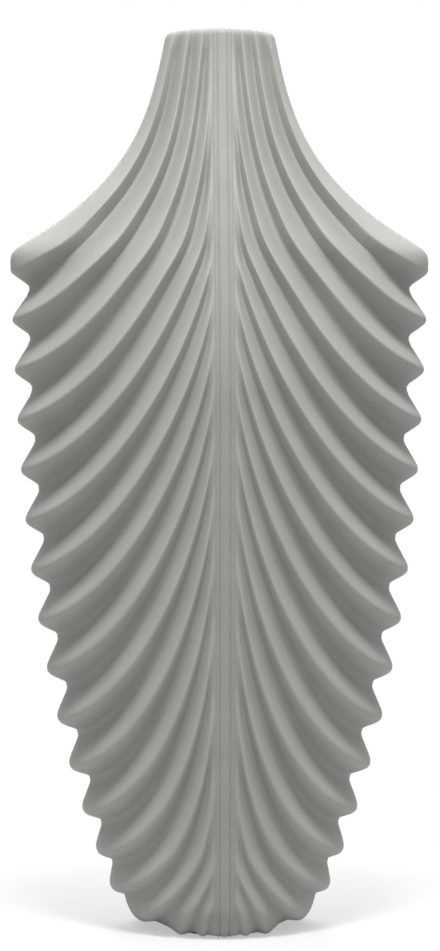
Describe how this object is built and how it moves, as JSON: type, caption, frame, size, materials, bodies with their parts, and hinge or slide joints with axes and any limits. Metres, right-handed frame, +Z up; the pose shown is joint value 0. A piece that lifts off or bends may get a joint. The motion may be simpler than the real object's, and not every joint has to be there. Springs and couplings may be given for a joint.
{
  "type": "fan vase",
  "caption": "Tall flattened ceramic vase with a narrow flared neck, wide shoulders and drooping pleated ribs that fan out from a central spine to a toothed side edge.",
  "frame": {"origin": "centre of the underside, on the surface the vase stands on", "axes": "+Z up from the foot to the mouth, +X to the right across the wide side, front face towards -Y"},
  "size_m": [0.1874, 0.092, 0.4],
  "materials": {
    "glazed_clay": "matte grey glaze",
    "bare_clay": "unglazed fired clay",
    "felt": "pressed felt"
  },
  "bodies": {
    "root": {"front_shell": "glazed_clay", "back_shell": "glazed_clay", "base_slab": "bare_clay", "base_coil": "bare_clay", "seam_coil_left": "bare_clay", "seam_coil_right": "bare_clay", "felt_pad": "felt"}
  },
  "joints": []
}
